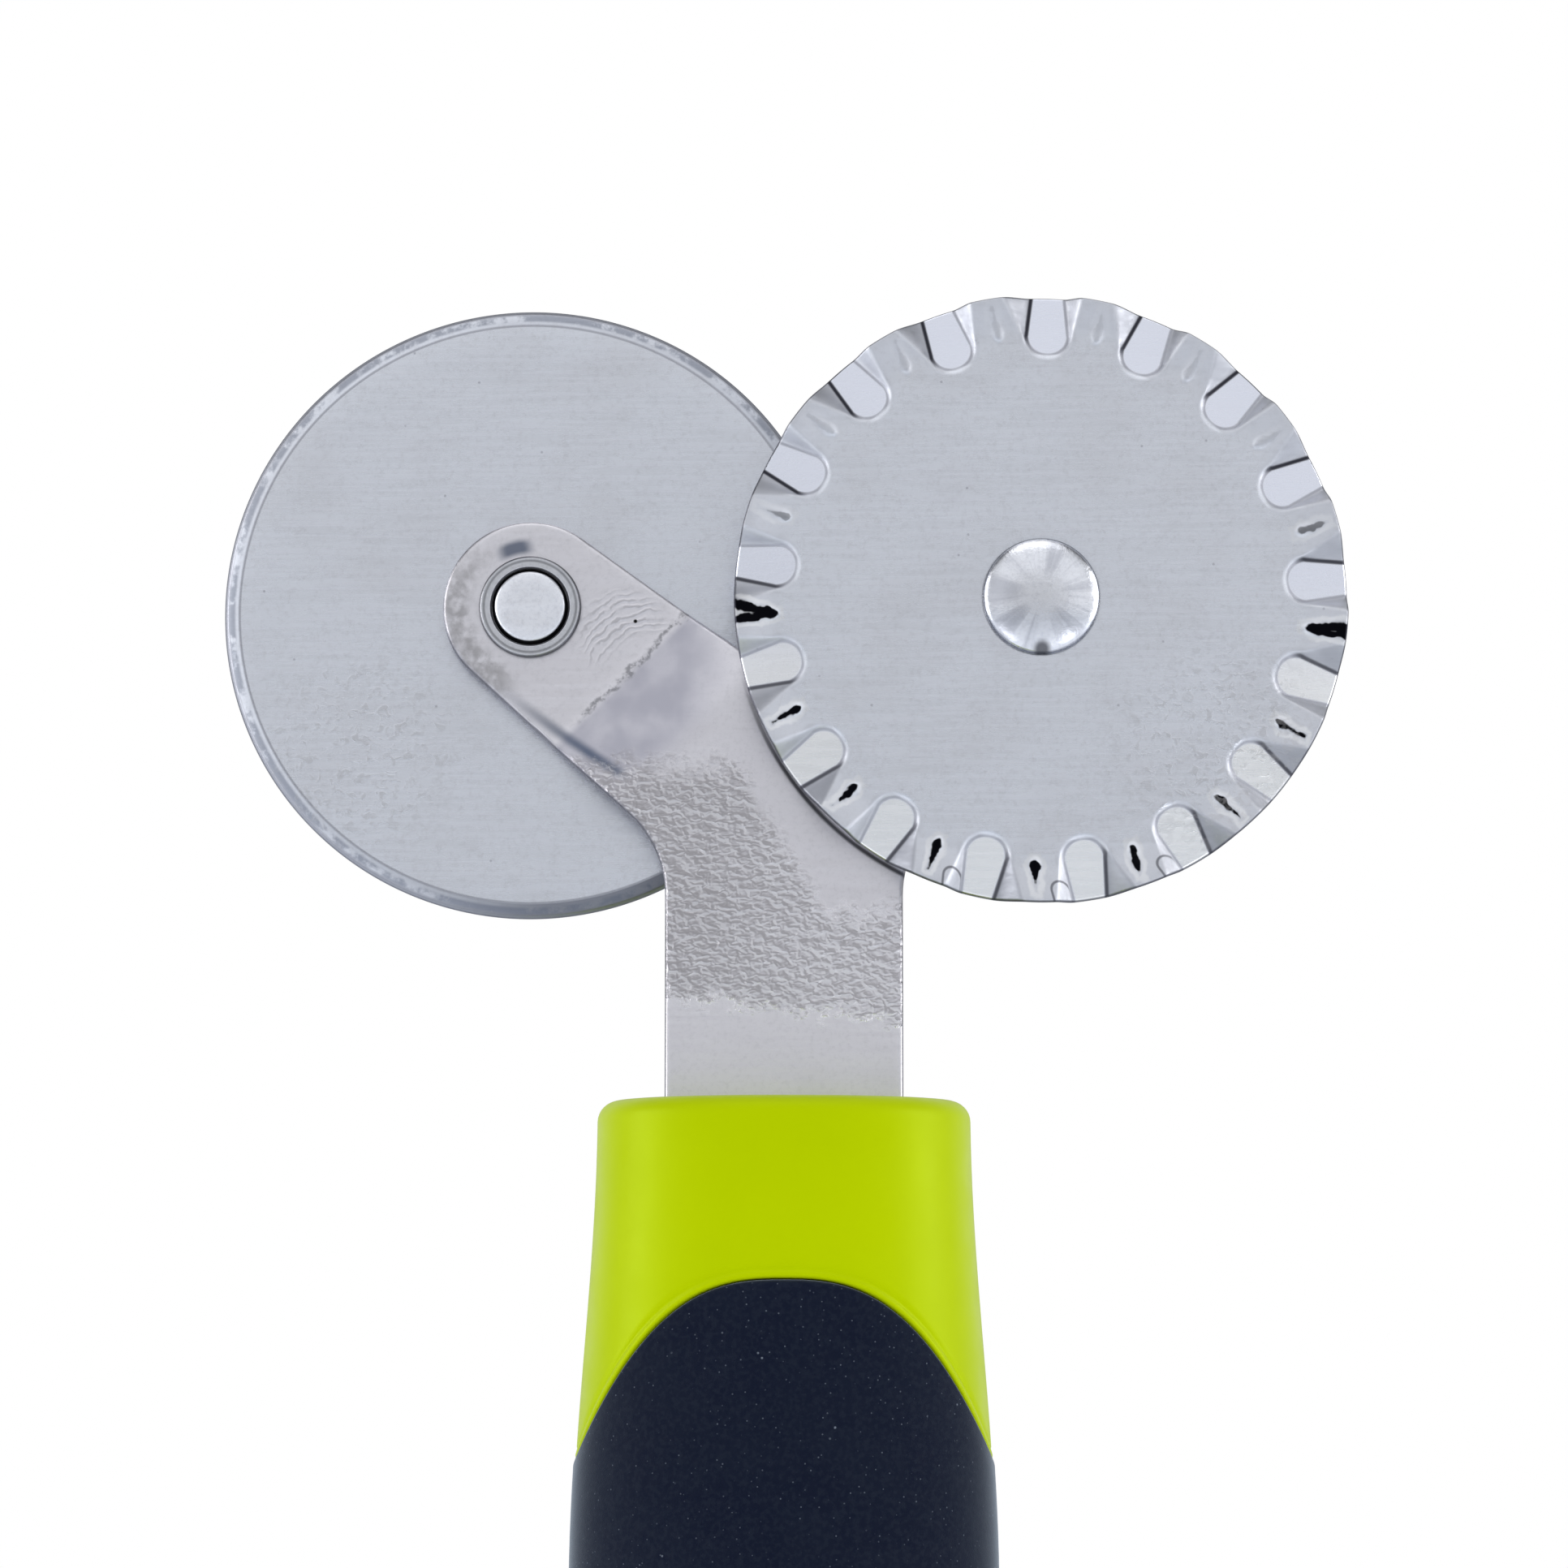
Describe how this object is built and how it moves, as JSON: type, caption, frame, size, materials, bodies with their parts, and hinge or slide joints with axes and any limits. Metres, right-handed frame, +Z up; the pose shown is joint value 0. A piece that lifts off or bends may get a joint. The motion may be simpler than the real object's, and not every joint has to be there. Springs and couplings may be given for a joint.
{
  "type": "double pastry cutter wheel",
  "caption": "Hand-held pastry cutter: a flat bevelled wheel and a fluted crimping wheel spin side by side on a forked steel plate set in a soft-grip handle.",
  "frame": {"origin": "middle of the hand grip, on the tool's long axis", "axes": "+Z up the tool from the handle to the wheels, +X to the crimping wheel's side, +Y from the crimping wheel's plane to the plain wheel's plane; both axles lie along Y"},
  "size_m": [0.0724, 0.0206, 0.1769],
  "materials": {
    "wheel_steel": "fine brushed faces, ground bevel",
    "fork_steel": "tumbled satin",
    "rivet_steel": "polished",
    "lime_plastic": "satin moulded",
    "grip_rubber": "matte soft-touch",
    "carrier_plastic": "moulded, hidden"
  },
  "bodies": {
    "tool_frame": {"fork_plate": "fork_steel", "plain_rivet": "rivet_steel", "fluted_rivet": "rivet_steel", "plain_collar": "rivet_steel", "fluted_collar": "rivet_steel", "plain_washer": "rivet_steel", "fluted_washer": "rivet_steel", "tang_carrier": "carrier_plastic", "tang_pins": "rivet_steel", "handle_shell": "lime_plastic", "soft_grip": "grip_rubber", "end_cap": "lime_plastic"},
    "cutting_wheel": {"plain_wheel": "wheel_steel"},
    "crimping_wheel": {"fluted_wheel": "wheel_steel"}
  },
  "joints": [
    {"name": "plain_spin", "type": "hinge", "parent": "tool_frame", "child": "cutting_wheel", "pos_m": [-0.0164, 0, 0.0922], "axis": [0, 1, 0], "continuous": true},
    {"name": "fluted_spin", "type": "hinge", "parent": "tool_frame", "child": "crimping_wheel", "pos_m": [0.0164, 0, 0.0922], "axis": [0, 1, 0], "continuous": true}
  ]
}
